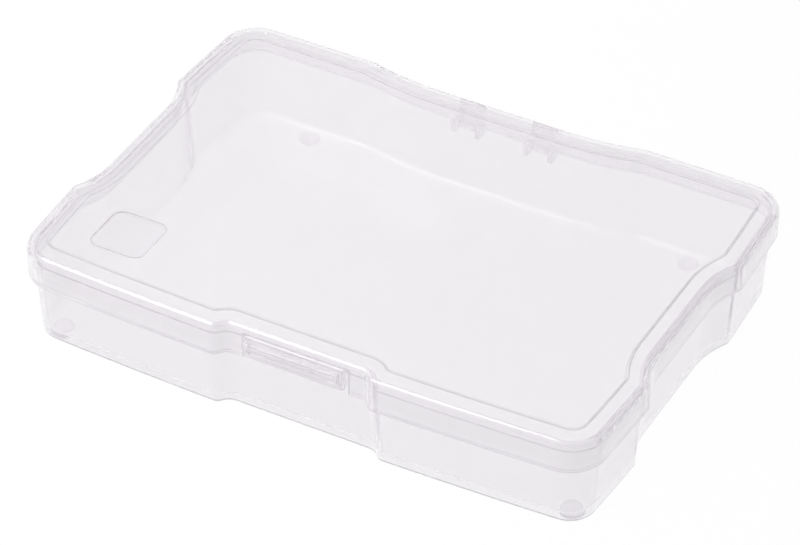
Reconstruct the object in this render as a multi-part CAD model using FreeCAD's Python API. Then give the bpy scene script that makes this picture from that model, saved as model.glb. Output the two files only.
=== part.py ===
import FreeCAD, Part
import os
from math import cos, sin, radians
from FreeCAD import Vector

# Clear plastic photo keeper case: a shallow tray with a hinged lid that overlaps it and snaps shut
# Millimetres; X is the length, -Y the latch side, +Z up, origin at the bottom centre of the closed case

# Outline of the lid seen from above
case_length = 170.0
case_depth = 120.1
front_bow = 2.59
side_bow = 2.33
corner_radius = 10.4
edge_least_radius = 1.7

# Recess in the front edge that holds the latch
front_recess_depth = 2.95
front_recess_flat = 39.6
front_recess_wall_angle = 47.0
front_recess_root_radius = 1.5
front_recess_edge_radius = 2.2

# Concave finger grips in both short sides
grip_depth = 3.9
grip_flat = 28.8
grip_radius = 23.7
grip_edge_radius = 2.3

# Long shallow recess in the back edge that holds the hinge
back_recess_depth = 2.85
back_recess_flat = 36.0
back_recess_radius = 93.0
back_recess_edge_radius = 4.0

# Tray
foot_height = 0.4
foot_radius = 2.75
foot_front_margin = 11.15
foot_front_end_margin = 10.5
foot_back_margin = 7.65
foot_back_end_margin = 27.0
tray_height = 26.9
tray_wall = 1.3
tray_floor = 1.3
tray_bottom_inset = 3.1
tray_rim_inset = 1.5
tray_bottom_fillet = 0.6
tray_inner_fillet = 1.6
tray_inner_least_radius = 2.0
rim_rebate_height = 2.6
rim_rebate_depth = 0.45
rim_fillet = 0.3

# Lid
lid_seat_gap = 0.15
lid_top_thickness = 1.25
lid_wall = 1.2
skirt_length = 8.4
lip_drop = 1.2
lip_depth = 2.0
lip_slope_length = 13.0
lid_top_fillet = 2.0
lid_inner_fillet = 0.9
panel_inset = 5.4
panel_corner_radius = 4.5
panel_rise = 0.4
panel_slope_width = 0.2
panel_under_inset = 6.3

# Bare plate let into the lid
plate_length = 15.9
plate_width = 15.9
plate_corner = 3.0
plate_thickness = 0.4
plate_sink = 0.05
plate_end_margin = 25.1
plate_front_margin = 21.45

# Hinge: pins between ears on the tray, clips on the lid
hinge_spacing = 22.0
hinge_drop = 1.7
hinge_setback = 1.75
pin_radius = 0.9
pin_length = 6.0
clip_gap = 0.3
clip_clearance = 0.06
clip_radius = 1.7
clip_mouth = 1.3
clip_finger_height = 6.4
clip_finger_slope = 1.6
ear_thickness = 1.3
ear_radius = 1.65

# Latch: a tab on the lid that flexes about its top edge, with a hook under a bead on the tray
tab_half_width = 14.9
tab_top_half_width = 14.2
tab_thickness = 1.2
tab_stand_off = 0.1
tab_pivot_drop = 2.5
tab_side_gap = 0.3
tab_corner_radius = 1.5
pivot_clearance = 0.05
ledge_half_width = 13.7
ledge_thickness = 1.1
ledge_front_height = 2.2
ledge_front_thickness = 0.9
ledge_tilt_rise = 0.3
ledge_edge_fillet = 0.35
gusset_thickness = 1.1
gusset_foot = 0.5
hook_half_width = 8.5
hook_height = 1.0
hook_reach = 0.9
hook_lead = 0.45
catch_half_width = 4.8
catch_height = 1.1
catch_gap = 0.4
catch_play = 0.15
catch_lead = 0.5

# Modelling values
overrun = 2.0
closeness = 0.01

# Heights and places that follow from the sizes above
half_length = case_length / 2
half_depth = case_depth / 2
tray_bottom = foot_height
tray_top = tray_bottom + tray_height
lid_under = tray_top + lid_seat_gap
lid_top = lid_under + lid_top_thickness
panel_top = lid_top + panel_rise
skirt_bottom = lid_top - skirt_length
lip_bottom = skirt_bottom - lip_drop
tab_pivot_height = lid_top - tab_pivot_drop
front_wall_y = -half_depth + front_recess_depth
back_wall_y = half_depth - back_recess_depth
hinge_y = half_depth - hinge_setback
hinge_z = skirt_bottom - hinge_drop
tab_outer_y = front_wall_y - tab_stand_off - tab_thickness / 2
tab_inner_y = tab_outer_y + tab_thickness
tab_pivot_y = tab_outer_y + tab_thickness / 2
ledge_front_y = -half_depth
front_radius = (half_length ** 2 + front_bow ** 2) / (2 * front_bow)
side_radius = (half_depth ** 2 + side_bow ** 2) / (2 * side_bow)


# Outline of the case at any inset

def flat_side(point, angle, inset):
    """A straight side through a point; the inset moves it into the case, to the left of its direction."""
    direction = Vector(cos(radians(angle)), sin(radians(angle)), 0)
    start = point + Vector(-direction.y, direction.x, 0) * inset
    return Part.Line(start, start + direction)


def round_side(centre, radius):
    """A curved side about a fixed centre."""
    return Part.Circle(centre, Vector(0, 0, 1), radius)


def front_flat(inset):
    return flat_side(Vector(0, front_wall_y, 0), 0, inset)


def front_slope(inset):
    return flat_side(Vector(front_recess_flat / 2, front_wall_y, 0), -front_recess_wall_angle, inset)


def front_edge(inset):
    return round_side(Vector(0, front_radius - half_depth, 0), front_radius - inset)


def side_edge(inset):
    return round_side(Vector(half_length - side_radius, 0, 0), side_radius - inset)


def front_grip(inset):
    return round_side(Vector(half_length - grip_depth + grip_radius, -grip_flat / 2, 0), grip_radius + inset)


def back_grip(inset):
    return round_side(Vector(half_length - grip_depth + grip_radius, grip_flat / 2, 0), grip_radius + inset)


def grip_base(inset):
    return flat_side(Vector(half_length - grip_depth, 0, 0), 90, inset)


def back_edge(inset):
    return flat_side(Vector(0, half_depth, 0), 180, inset)


def back_curve(inset):
    centre = Vector(back_recess_flat / 2, back_wall_y + back_recess_radius, 0)
    return round_side(centre, back_recess_radius + inset)


def meeting(one, other, near):
    """The point where two sides cross, nearest to a place."""
    crossings = [Vector(point.X, point.Y, 0) for point in one.intersect(other)]
    return min(crossings, key=lambda point: (point - near).Length)


def foot_on(side, point):
    """The point of a side nearest to a point."""
    return side.value(side.parameter(point))


def rounded_corner(before, after, radius, least, inset, near, hollow=False):
    """Start, middle and end of the arc that rounds the corner between two sides."""
    if hollow:
        bend = radius + inset
        centre = meeting(before(-radius), after(-radius), near)
    else:
        bend = max(radius - inset, least)
        centre = meeting(before(inset + bend), after(inset + bend), near)
    start = foot_on(before(inset), centre)
    end = foot_on(after(inset), centre)
    middle = centre + ((start + end) / 2 - centre).normalize() * bend
    return start, middle, end


def right_half(inset, least, corner):
    """Corner arcs and plain joints of the right half, from the front recess round to the back recess."""
    side_y = grip_flat / 2 + grip_radius / 2
    grip_x = half_length - grip_depth - inset
    return (
        rounded_corner(front_flat, front_slope, front_recess_root_radius, least, inset,
                       Vector(front_recess_flat / 2, front_wall_y, 0), hollow=True),
        rounded_corner(front_slope, front_edge, front_recess_edge_radius, least, inset,
                       Vector(front_recess_flat / 2 + front_recess_depth, -half_depth, 0)),
        rounded_corner(front_edge, side_edge, corner, least, inset,
                       Vector(half_length, -half_depth, 0)),
        rounded_corner(side_edge, front_grip, grip_edge_radius, least, inset,
                       Vector(half_length, -side_y, 0)),
        (Vector(grip_x, -grip_flat / 2, 0),),
        (Vector(grip_x, grip_flat / 2, 0),),
        rounded_corner(back_grip, side_edge, grip_edge_radius, least, inset,
                       Vector(half_length, side_y, 0)),
        rounded_corner(side_edge, back_edge, corner, least, inset,
                       Vector(half_length, half_depth, 0)),
        rounded_corner(back_edge, back_curve, back_recess_edge_radius, least, inset,
                       Vector(back_recess_flat, half_depth, 0)),
        (Vector(back_recess_flat / 2, back_wall_y - inset, 0),),
    )


def half_path(inset, least, corner):
    """Stretches of the right half, each as two points of a line or three points of an arc."""
    sides = (front_slope, front_edge, side_edge, front_grip, grip_base, back_grip, side_edge, back_edge,
             back_curve)
    corners = right_half(inset, least, corner)
    path = []
    for side, rounding, following in zip(sides, corners[:-1], corners[1:]):
        if len(rounding) == 3:
            path.append(rounding)
        curve = side(inset)
        start, end = rounding[-1], following[0]
        if isinstance(curve, Part.Line):
            path.append((start, end))
        else:
            path.append((start, foot_on(curve, (start + end) / 2), end))
    return path


def outline(inset, height, least=edge_least_radius, corner=corner_radius):
    """Closed outline of the case at an inset from the lid's outer edge, at a height."""
    right = half_path(inset, least, corner)
    left = [tuple(Vector(-point.x, point.y, 0) for point in reversed(stretch)) for stretch in reversed(right)]
    path = [(left[-1][-1], right[0][0])] + right + [(right[-1][-1], left[0][0])] + left
    edges = []
    for stretch in path:
        points = [point + Vector(0, 0, height) for point in stretch]
        if len(points) == 2:
            edges.append(Part.LineSegment(*points).toShape())
        else:
            edges.append(Part.Arc(*points).toShape())
    return Part.Wire(edges)


def slab(inset, bottom, top, corner=corner_radius):
    """Upright block with the case's outline."""
    face = Part.Face(outline(inset, bottom, corner=corner))
    return face.extrude(Vector(0, 0, top - bottom))


def tapered_slab(bottom_inset, top_inset, bottom, top, least=edge_least_radius, corner=corner_radius):
    """Block with the case's outline, whose walls lean."""
    wires = [outline(bottom_inset, bottom, least, corner), outline(top_inset, top, least, corner)]
    return Part.makeLoft(wires, True, True)


# Small helpers

def level_edges(shape, height):
    """Edges of a shape that lie level at a height."""
    found = []
    for edge in shape.Edges:
        heights = [vertex.Z for vertex in edge.Vertexes] + [edge.CenterOfMass.z]
        if max(abs(value - height) for value in heights) < closeness:
            found.append(edge)
    return found


def bar(profile, low_x, high_x):
    """Bar along X with a profile given as (y, z) points."""
    points = [Vector(low_x, y, z) for y, z in profile]
    face = Part.Face(Part.makePolygon(points + points[:1]))
    return face.extrude(Vector(high_x - low_x, 0, 0))


def rod(radius, y, z, low_x, high_x):
    """Round rod along X."""
    return Part.makeCylinder(radius, high_x - low_x, Vector(low_x, y, z), Vector(1, 0, 0))


def block(low, high):
    """Box between two corners."""
    size = high - low
    return Part.makeBox(size.x, size.y, size.z, low)


def tray_inset(height):
    """Inset of the tray's outer wall at a height, from its bottom to above its rim."""
    share = (height - tray_bottom) / tray_height
    return tray_bottom_inset + (tray_rim_inset - tray_bottom_inset) * share


# Tray

def tray_body():
    """The tray's outer form before it is hollowed."""
    body = tapered_slab(tray_bottom_inset, tray_rim_inset, tray_bottom, tray_top)
    return body.makeFillet(tray_bottom_fillet, level_edges(body, tray_bottom))


def make_tray(body):
    """Thin-walled tray with leaning walls and a stepped rim."""
    floor_top = tray_bottom + tray_floor
    high = tray_top + overrun
    hollow = tapered_slab(tray_inset(floor_top) + tray_wall, tray_inset(high) + tray_wall, floor_top, high,
                          tray_inner_least_radius)
    hollow = hollow.makeFillet(tray_inner_fillet, level_edges(hollow, floor_top))
    rebate_bottom = tray_top - rim_rebate_height
    rebate = slab(0, rebate_bottom, high).cut(slab(tray_rim_inset + rim_rebate_depth, rebate_bottom, high))
    tray = body.cut(hollow).cut(rebate)
    return tray.makeFillet(rim_fillet, level_edges(tray, tray_top))


def make_feet():
    """Four round feet under the tray's corners."""
    places = []
    for side in (-1, 1):
        places.append(Vector(side * (half_length - foot_front_end_margin), foot_front_margin - half_depth, 0))
        places.append(Vector(side * (half_length - foot_back_end_margin), half_depth - foot_back_margin, 0))
    return Part.makeCompound([Part.makeCylinder(foot_radius, foot_height, place) for place in places])


def make_catch(body):
    """Bead on the tray's front wall that the latch hook snaps under."""
    low = skirt_bottom + hook_height + catch_play
    high = low + catch_height
    front = tab_inner_y + catch_gap
    root = front_wall_y + tray_bottom_inset + tray_wall
    profile = [(root, low), (front, low), (front, high - catch_lead), (root, high + catch_lead)]
    return bar(profile, -catch_half_width, catch_half_width).cut(body)


# Hinge

def hinge_places():
    return (-hinge_spacing / 2, hinge_spacing / 2)


def make_ears(body):
    """Two pairs of ears on the tray's back wall."""
    root = back_wall_y - tray_bottom_inset - tray_wall
    ears = []
    for place in hinge_places():
        for side in (-1, 1):
            inner = place + side * pin_length / 2
            low, high = sorted((inner, inner + side * ear_thickness))
            arm = block(Vector(low, root, hinge_z - ear_radius), Vector(high, hinge_y, hinge_z + ear_radius))
            ears.append(arm.fuse(rod(ear_radius, hinge_y, hinge_z, low, high)).removeSplitter().cut(body))
    return Part.makeCompound(ears)


def make_pins():
    """Two pins, each between a pair of ears."""
    return Part.makeCompound([
        rod(pin_radius, hinge_y, hinge_z, place - pin_length / 2, place + pin_length / 2)
        for place in hinge_places()])


def make_clips():
    """Two clips on the lid's back wall that snap over the pins."""
    outer_y = hinge_y + clip_radius
    finger_top = skirt_bottom + clip_finger_height
    clips = []
    for place in hinge_places():
        low = place - pin_length / 2 + clip_gap
        high = place + pin_length / 2 - clip_gap
        profile = [(outer_y, hinge_z), (outer_y, finger_top - clip_finger_slope - clip_radius),
                   (back_wall_y, finger_top), (back_wall_y, hinge_z)]
        clip = bar(profile, low, high).fuse(rod(clip_radius, hinge_y, hinge_z, low, high)).removeSplitter()
        bore = rod(pin_radius + clip_clearance, hinge_y, hinge_z, low - overrun, high + overrun)
        mouth = block(Vector(low - overrun, hinge_y - clip_mouth / 2, hinge_z - clip_radius - overrun),
                      Vector(high + overrun, hinge_y + clip_mouth / 2, hinge_z))
        clips.append(clip.cut(bore).cut(mouth))
    return Part.makeCompound(clips)


# Lid

def below_skirt():
    """The space under the skirt, whose edge is level at the sides and the back and lower along the front."""
    lip_back = lip_depth - half_depth
    slope_back = lip_back + lip_slope_length
    far_back = half_depth + overrun
    low = lip_bottom - overrun
    return bar([(lip_back, low), (lip_back, lip_bottom), (slope_back, skirt_bottom), (far_back, skirt_bottom),
                (far_back, low)], -half_length - overrun, half_length + overrun)


def make_lid(plate):
    """Lid with a raised panel, a seat for the plate, a skirt round the tray and an opening for the tab."""
    lid = slab(0, lip_bottom, lid_top)
    lid = lid.makeFillet(lid_top_fillet, level_edges(lid, lid_top))
    corner = panel_inset + panel_corner_radius
    lid = lid.fuse(tapered_slab(panel_inset, panel_inset + panel_slope_width, lid_top - closeness, panel_top,
                                corner=corner))
    hollow = slab(lid_wall, lip_bottom - overrun, lid_under)
    hollow = hollow.makeFillet(lid_inner_fillet, level_edges(hollow, lid_under))
    under_panel = slab(panel_under_inset, skirt_bottom, lid_under + panel_rise, corner=corner)
    lid = lid.cut(hollow).cut(under_panel).cut(below_skirt())
    half_window = tab_half_width + tab_side_gap
    window = block(Vector(-half_window, front_wall_y - overrun, lip_bottom - overrun),
                   Vector(half_window, front_wall_y + lid_wall + overrun, tab_pivot_height))
    groove_radius = tab_thickness / 2 + pivot_clearance
    groove = rod(groove_radius, tab_pivot_y, tab_pivot_height, -half_window, half_window)
    seat = plate.fuse(plate.translated(Vector(0, 0, plate_thickness))).removeSplitter()
    return lid.cut(window).cut(groove).cut(seat).removeSplitter()


def make_plate():
    """Bare plate with rounded corners, let into the lid's panel and a little below its face."""
    corner = Vector(plate_end_margin - half_length - plate_length / 2,
                    plate_front_margin - half_depth - plate_width / 2,
                    panel_top - plate_sink - plate_thickness)
    plate = Part.makeBox(plate_length, plate_width, plate_thickness, corner)
    upright = [edge for edge in plate.Edges if abs(edge.Length - plate_thickness) < closeness]
    return plate.makeFillet(plate_corner, upright)


# Latch tab

def make_tab():
    """Flexing tab: a plate with a rolled top edge, a hooked ledge to pull it by and a gusset at each end."""
    corners = [
        Vector(-tab_half_width, tab_outer_y, skirt_bottom),
        Vector(tab_half_width, tab_outer_y, skirt_bottom),
        Vector(tab_top_half_width, tab_outer_y, tab_pivot_height),
        Vector(-tab_top_half_width, tab_outer_y, tab_pivot_height)]
    tab = Part.Face(Part.makePolygon(corners + corners[:1])).extrude(Vector(0, tab_thickness, 0))
    lower = [edge for edge in tab.Edges
             if abs(edge.Length - tab_thickness) < closeness
             and abs(edge.CenterOfMass.z - skirt_bottom) < closeness]
    tab = tab.makeFillet(tab_corner_radius, lower)
    roll = rod(tab_thickness / 2, tab_pivot_y, tab_pivot_height, -tab_top_half_width, tab_top_half_width)
    ledge_top = tab_pivot_height + ledge_tilt_rise
    lip_back = ledge_front_y + ledge_front_thickness
    ledge = bar([(tab_pivot_y, tab_pivot_height - ledge_thickness), (tab_pivot_y, tab_pivot_height),
                 (tab_outer_y, tab_pivot_height), (ledge_front_y, ledge_top),
                 (ledge_front_y, ledge_top - ledge_front_height), (lip_back, ledge_top - ledge_front_height),
                 (lip_back, ledge_top - ledge_thickness)], -ledge_half_width, ledge_half_width)
    tab = tab.fuse(roll).fuse(ledge)
    for side in (-1, 1):
        low, high = sorted((side * ledge_half_width, side * (ledge_half_width - gusset_thickness)))
        tab = tab.fuse(bar([(tab_pivot_y, tab_pivot_height), (tab_outer_y, tab_pivot_height),
                            (ledge_front_y, ledge_top), (ledge_front_y, ledge_top - ledge_front_height),
                            (tab_outer_y - gusset_foot, skirt_bottom + tab_corner_radius),
                            (tab_pivot_y, skirt_bottom + tab_corner_radius)], low, high))
    tab = tab.removeSplitter()
    front = [edge for edge in tab.Edges
             if abs(edge.CenterOfMass.y - ledge_front_y) < closeness
             and abs(edge.Length - 2 * ledge_half_width) < closeness]
    return tab.makeFillet(ledge_edge_fillet, front)


def make_hook():
    """Rib inside the tab's lower edge that holds under the tray's bead."""
    top = skirt_bottom + hook_height
    profile = [(tab_inner_y, skirt_bottom), (tab_inner_y + hook_reach - hook_lead, skirt_bottom),
               (tab_inner_y + hook_reach, skirt_bottom + hook_lead), (tab_inner_y + hook_reach, top),
               (tab_inner_y, top)]
    return bar(profile, -hook_half_width, hook_half_width)


def main():
    os.makedirs("parts", exist_ok=True)
    body = tray_body()
    plate = make_plate()
    parts = {
        "base_tray": make_tray(body),
        "base_feet": make_feet(),
        "base_catch": make_catch(body),
        "hinge_ears": make_ears(body),
        "hinge_pins": make_pins(),
        "hinge_clips": make_clips(),
        "lid_cover": make_lid(plate),
        "lid_plate": plate,
        "latch_tab": make_tab(),
        "latch_hook": make_hook(),
    }
    for name, shape in parts.items():
        shape.exportStep("parts/" + name + ".step")
        box = shape.optimalBoundingBox()
        print(name, "solids", len(shape.Solids), "valid", shape.isValid(), "volume", round(shape.Volume, 2),
              "from", [round(value, 2) for value in (box.XMin, box.YMin, box.ZMin)],
              "to", [round(value, 2) for value in (box.XMax, box.YMax, box.ZMax)])


main()
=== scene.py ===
import math
import bpy
from mathutils import Matrix, Vector

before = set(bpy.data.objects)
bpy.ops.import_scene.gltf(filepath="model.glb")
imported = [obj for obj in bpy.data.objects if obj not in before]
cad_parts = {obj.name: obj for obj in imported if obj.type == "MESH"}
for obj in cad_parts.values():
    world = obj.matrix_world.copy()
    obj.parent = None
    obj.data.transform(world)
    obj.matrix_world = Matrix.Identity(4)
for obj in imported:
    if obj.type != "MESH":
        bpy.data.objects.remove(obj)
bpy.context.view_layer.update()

# Camera, at the photograph's angle
camera_azimuth = 28.54
camera_elevation = 38.6
camera_roll = 0.121
camera_target = Vector((-0.00825, 0.01324, 0.0))
camera_distance = 1.1653
camera_lens = 196.83
sensor_width = 36.0
clip_start = 0.05
clip_end = 20.0

# Floor
floor_reach = 3.0
floor_colour = (0.985, 0.985, 0.985, 1.0)
floor_white_share = 0.75

# Light: a white room, and one large soft lamp; what gloss and clear plastic show of the room is white,
# and a little darker towards the horizon and to the right
room_colour = (1.0, 1.0, 1.0, 1.0)
room_strength = 0.62
seen_horizon_share = 0.8
seen_full_height = 0.5
seen_right_share = 0.6
seen_right_start = 0.1
seen_right_end = 0.9
lamp_power = 14.0
lamp_place = Vector((-0.75, -0.50, 1.35))
lamp_length = 0.9
lamp_width = 0.9

# Clear plastic: thin sheets bend what lies behind them little, and a gloss coat gives their full shine
plastic_ior = 1.165
coat_weight = 1.0
coat_roughness = 0.1
sheet_tint = (1.0, 1.0, 1.0, 1.0)
haze_colour = (0.742, 0.70, 0.755, 1.0)
haze_share = 0.16
depth_colour = (0.565, 0.55, 0.575, 1.0)
depth_density = 3.0
lamp_pass = (0.995, 0.992, 0.996, 1.0)
ripple_scale = 70.0
ripple_height = 0.00002
ripple_strength = 0.05
ripple_detail = 1.0
cloud_scale = 28.0
cloud_detail = 2.0
cloud_roughness = (0.10, 0.135)

# Frosted plate
frost_roughness = (0.3, 0.42)
frost_scale = 2500.0
frost_height = 0.00001
frost_strength = 1.0
frost_haze_share = 0.03

# Painted shade: edges get a darker tint than the sheets between them, standing in for the dark lines that
# light bending at edges shows; edge_dot is how far a rounded normal agrees with the face's own, from a
# sharp edge to a plain face
edge_radius = 0.0005
edge_dot = (0.86, 0.98)
painted_edge_shade = (0.46, 0.46, 0.46, 1.0)

# Painted shade along the tray's bottom edge, as heights between which its dark line starts, and between
# which it ends
painted_bottom_shade_start = (0.00042, 0.0005)
painted_bottom_shade_end = (0.0010, 0.0014)

# Sockets of a colour mix: its two colours, and its result
first_colour = 6
second_colour = 7
mixed_colour = 2

# Gap that keeps the faces of two touching pieces apart, so that light passes both
seam_gap = 0.00002
weld_distance = 0.000001

# Light paths through many clear walls
path_bounces = 24
clear_bounces = 48


def new_material(name):
    """An empty node material and its node tree."""
    material = bpy.data.materials.new(name)
    material.use_nodes = True
    tree = material.node_tree
    tree.nodes.clear()
    return material, tree


def add_node(tree, kind, **settings):
    """A node of a kind, with its settings."""
    node = tree.nodes.new(kind)
    for name, value in settings.items():
        setattr(node, name, value)
    return node


def combine(tree, operation, one, other):
    """A value worked out from a value and another value or number."""
    node = add_node(tree, "ShaderNodeMath", operation=operation)
    tree.links.new(one, node.inputs[0])
    if isinstance(other, float):
        node.inputs[1].default_value = other
    else:
        tree.links.new(other, node.inputs[1])
    return node.outputs["Value"]


def smooth_step(tree, value, start, end, low, high):
    """A value that turns smoothly from low to high between a start and an end."""
    step = add_node(tree, "ShaderNodeMapRange", interpolation_type="SMOOTHSTEP")
    step.inputs["From Min"].default_value = start
    step.inputs["From Max"].default_value = end
    step.inputs["To Min"].default_value = low
    step.inputs["To Max"].default_value = high
    tree.links.new(value, step.inputs["Value"])
    return step.outputs["Result"]


def between(tree, value, low, high):
    """A value from 0 to 1 spread between two numbers."""
    spread = add_node(tree, "ShaderNodeMapRange")
    spread.inputs["To Min"].default_value = low
    spread.inputs["To Max"].default_value = high
    tree.links.new(value, spread.inputs["Value"])
    return spread.outputs["Result"]


def place_parts(tree, kind):
    """The coordinates of a place, of a kind, one by one."""
    place = add_node(tree, "ShaderNodeTexCoord")
    parts = add_node(tree, "ShaderNodeSeparateXYZ")
    tree.links.new(place.outputs[kind], parts.inputs["Vector"])
    return parts.outputs


def mix_shaders(tree, share, first, second):
    """Two shaders mixed by a share, which is a number or a value."""
    mix = add_node(tree, "ShaderNodeMixShader")
    if isinstance(share, float):
        mix.inputs["Fac"].default_value = share
    else:
        tree.links.new(share, mix.inputs["Fac"])
    tree.links.new(first, mix.inputs[1])
    tree.links.new(second, mix.inputs[2])
    return mix.outputs["Shader"]


def object_noise(tree, scale, detail):
    """Noise that follows the object, at a scale per metre."""
    place = add_node(tree, "ShaderNodeTexCoord")
    noise = add_node(tree, "ShaderNodeTexNoise")
    noise.inputs["Scale"].default_value = scale
    noise.inputs["Detail"].default_value = detail
    tree.links.new(place.outputs["Object"], noise.inputs["Vector"])
    return noise.outputs["Fac"]


def surface_bump(tree, value, distance, strength):
    """Normal of a surface that a value raises by a distance."""
    bump = add_node(tree, "ShaderNodeBump")
    bump.inputs["Distance"].default_value = distance
    bump.inputs["Strength"].default_value = strength
    tree.links.new(value, bump.inputs["Height"])
    return bump.outputs["Normal"]


def painted_edge_shade_mask(tree, face):
    """Mask for the painted edge shade: 1 along sharp edges and 0 on the faces between them."""
    bevel = add_node(tree, "ShaderNodeBevel")
    bevel.inputs["Radius"].default_value = edge_radius
    turn = add_node(tree, "ShaderNodeVectorMath", operation="DOT_PRODUCT")
    tree.links.new(bevel.outputs["Normal"], turn.inputs[0])
    tree.links.new(face.outputs["Normal"], turn.inputs[1])
    return smooth_step(tree, turn.outputs["Value"], *edge_dot, 1.0, 0.0)


def painted_bottom_shade(tree, face):
    """Mask for the painted shade along the tray's bottom: 1 on the outer face of the tray's bottom edge and
    0 elsewhere.
    """
    height = place_parts(tree, "Object")["Z"]
    above = smooth_step(tree, height, *painted_bottom_shade_start, 0.0, 1.0)
    below = smooth_step(tree, height, *painted_bottom_shade_end, 1.0, 0.0)
    outside = add_node(tree, "ShaderNodeMath", operation="SUBTRACT")
    outside.inputs[0].default_value = 1.0
    tree.links.new(face.outputs["Backfacing"], outside.inputs[1])
    return combine(tree, "MULTIPLY", combine(tree, "MULTIPLY", above, below), outside.outputs["Value"])


def sheet_tint_with_painted_shade(tree):
    """Tint of the sheets, with painted shade along edges and along the tray's bottom edge."""
    face = add_node(tree, "ShaderNodeNewGeometry")
    edge = combine(tree, "MAXIMUM", painted_edge_shade_mask(tree, face), painted_bottom_shade(tree, face))
    colour = add_node(tree, "ShaderNodeMix", data_type="RGBA")
    tree.links.new(edge, colour.inputs["Factor"])
    colour.inputs[first_colour].default_value = sheet_tint
    # The second colour is the painted shade along edges
    colour.inputs[second_colour].default_value = painted_edge_shade
    return colour.outputs[mixed_colour]


def clear_sheet(tree, roughness, ripple, height, strength):
    """Glossy clear plastic whose roughness and surface vary a little."""
    glass = add_node(tree, "ShaderNodeBsdfPrincipled")
    # The base colour carries the painted edge shade
    tree.links.new(sheet_tint_with_painted_shade(tree), glass.inputs["Base Color"])
    glass.inputs["IOR"].default_value = plastic_ior
    glass.inputs["Transmission Weight"].default_value = 1.0
    glass.inputs["Coat Weight"].default_value = coat_weight
    glass.inputs["Coat Roughness"].default_value = coat_roughness
    clouds = object_noise(tree, cloud_scale, cloud_detail)
    tree.links.new(between(tree, clouds, *roughness), glass.inputs["Roughness"])
    ripples = object_noise(tree, ripple, ripple_detail)
    tree.links.new(surface_bump(tree, ripples, height, strength), glass.inputs["Normal"])
    return glass.outputs["BSDF"]


def make_plastic(name, roughness, ripple, height, strength, haze_part):
    """Clear plastic with a little haze that takes up some light in its depth and lets lamps through."""
    material, tree = new_material(name)
    output = add_node(tree, "ShaderNodeOutputMaterial")
    glass = clear_sheet(tree, roughness, ripple, height, strength)
    haze = add_node(tree, "ShaderNodeBsdfDiffuse")
    haze.inputs["Color"].default_value = haze_colour
    body = mix_shaders(tree, haze_part, glass, haze.outputs["BSDF"])
    path = add_node(tree, "ShaderNodeLightPath")
    passing = combine(tree, "MAXIMUM", path.outputs["Is Shadow Ray"], path.outputs["Is Diffuse Ray"])
    clear = add_node(tree, "ShaderNodeBsdfTransparent")
    clear.inputs["Color"].default_value = lamp_pass
    surface = mix_shaders(tree, passing, body, clear.outputs["BSDF"])
    depth = add_node(tree, "ShaderNodeVolumeAbsorption")
    depth.inputs["Color"].default_value = depth_colour
    depth.inputs["Density"].default_value = depth_density
    tree.links.new(surface, output.inputs["Surface"])
    tree.links.new(depth.outputs["Volume"], output.inputs["Volume"])
    return material


def make_camera():
    """Camera that looks at the case from the photograph's side."""
    azimuth = math.radians(camera_azimuth)
    elevation = math.radians(camera_elevation)
    roll = math.radians(camera_roll)
    back = Vector((math.sin(azimuth) * math.cos(elevation), -math.cos(azimuth) * math.cos(elevation),
                   math.sin(elevation)))
    right = Vector((math.cos(azimuth), math.sin(azimuth), 0))
    up = back.cross(right)
    turned_right = right * math.cos(roll) + up * math.sin(roll)
    turned_up = up * math.cos(roll) - right * math.sin(roll)
    camera = bpy.data.objects.new("camera", bpy.data.cameras.new("camera"))
    bpy.context.scene.collection.objects.link(camera)
    turn = Matrix((turned_right, turned_up, back)).transposed().to_4x4()
    camera.matrix_world = Matrix.Translation(camera_target + back * camera_distance) @ turn
    camera.data.sensor_width = sensor_width
    camera.data.lens = camera_lens
    camera.data.clip_start = clip_start
    camera.data.clip_end = clip_end
    bpy.context.scene.camera = camera


def seen_ray(tree):
    """1 for rays that show a surface to the camera, also by gloss or through clear plastic."""
    path = add_node(tree, "ShaderNodeLightPath")
    seen = path.outputs["Is Camera Ray"]
    for kind in ("Is Glossy Ray", "Is Transmission Ray"):
        seen = combine(tree, "MAXIMUM", seen, path.outputs[kind])
    return seen


def make_floor():
    """White floor that keeps the case's shadow."""
    mesh = bpy.data.meshes.new("floor")
    corners = [(x * floor_reach, y * floor_reach, 0) for x, y in ((-1, -1), (1, -1), (1, 1), (-1, 1))]
    mesh.from_pydata(corners, [], [(0, 1, 2, 3)])
    floor = bpy.data.objects.new("floor", mesh)
    bpy.context.scene.collection.objects.link(floor)
    material, tree = new_material("white_floor")
    output = add_node(tree, "ShaderNodeOutputMaterial")
    paint = add_node(tree, "ShaderNodeBsdfDiffuse")
    paint.inputs["Color"].default_value = floor_colour
    white = add_node(tree, "ShaderNodeEmission")
    share = combine(tree, "MULTIPLY", seen_ray(tree), floor_white_share)
    surface = mix_shaders(tree, share, paint.outputs["BSDF"], white.outputs["Emission"])
    tree.links.new(surface, output.inputs["Surface"])
    mesh.materials.append(material)


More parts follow.
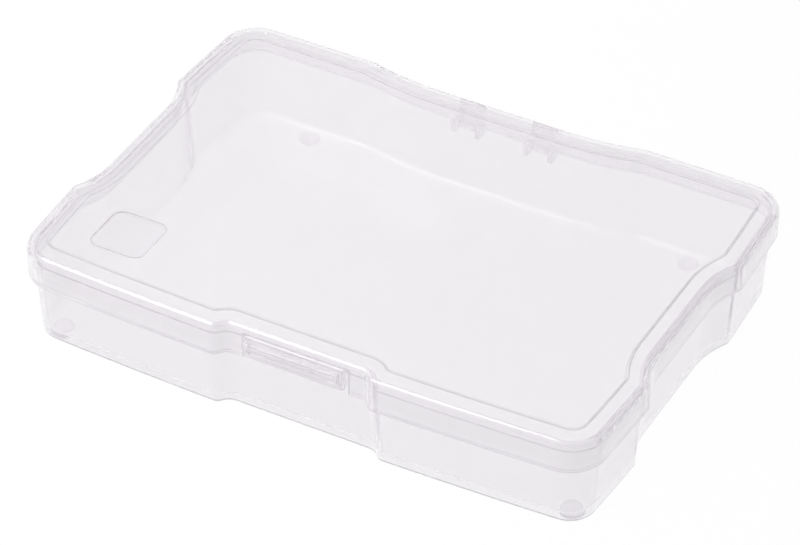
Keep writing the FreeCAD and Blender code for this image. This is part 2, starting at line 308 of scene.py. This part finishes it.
def make_room():
    """White room all round, which gloss and clear plastic show darker towards the horizon and the right."""
    world = bpy.data.worlds.new("studio")
    bpy.context.scene.world = world
    world.use_nodes = True
    tree = world.node_tree
    background = tree.nodes["Background"]
    background.inputs["Color"].default_value = room_colour
    parts = place_parts(tree, "Generated")
    rise = smooth_step(tree, parts["Z"], 0.0, seen_full_height, seen_horizon_share, 1.0)
    side = smooth_step(tree, parts["X"], seen_right_start, seen_right_end, 1.0, seen_right_share)
    strength = add_node(tree, "ShaderNodeMix", data_type="FLOAT")
    tree.links.new(seen_ray(tree), strength.inputs["Factor"])
    strength.inputs["A"].default_value = room_strength
    tree.links.new(combine(tree, "MULTIPLY", rise, side), strength.inputs["B"])
    tree.links.new(strength.outputs["Result"], background.inputs["Strength"])


def make_lamp():
    """Large soft lamp to the front and left, high over the case."""
    light = bpy.data.lights.new("softbox", "AREA")
    light.energy = lamp_power
    light.shape = "RECTANGLE"
    light.size = lamp_length
    light.size_y = lamp_width
    lamp = bpy.data.objects.new("softbox", light)
    bpy.context.scene.collection.objects.link(lamp)
    lamp.location = lamp_place
    lamp.rotation_mode = "QUATERNION"
    lamp.rotation_quaternion = (-lamp_place).to_track_quat("-Z", "Y")


def stand_back(node):
    """Draws a node's faces a hair in from those of its neighbours."""
    weld = node.modifiers.new("weld", "WELD")
    weld.merge_threshold = weld_distance
    inward = node.modifiers.new("seam", "DISPLACE")
    inward.mid_level = 0.0
    inward.strength = -seam_gap


def dress():
    """Gives each node of the case its material, and small touching nodes their seam."""
    clear = make_plastic("clear_plastic", cloud_roughness, ripple_scale, ripple_height, ripple_strength,
                         haze_share)
    frosted = make_plastic("frosted_plastic", frost_roughness, frost_scale, frost_height, frost_strength,
                           frost_haze_share)
    carriers = ("base_tray", "lid_cover", "latch_tab")
    for name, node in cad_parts.items():
        node.data.materials.clear()
        node.data.materials.append(frosted if name == "lid_plate" else clear)
        if name not in carriers:
            stand_back(node)


bpy.context.scene.view_settings.view_transform = "Standard"
bpy.context.scene.cycles.max_bounces = path_bounces
bpy.context.scene.cycles.transmission_bounces = path_bounces
bpy.context.scene.cycles.glossy_bounces = path_bounces
bpy.context.scene.cycles.transparent_max_bounces = clear_bounces
make_camera()
make_floor()
make_room()
make_lamp()
dress()
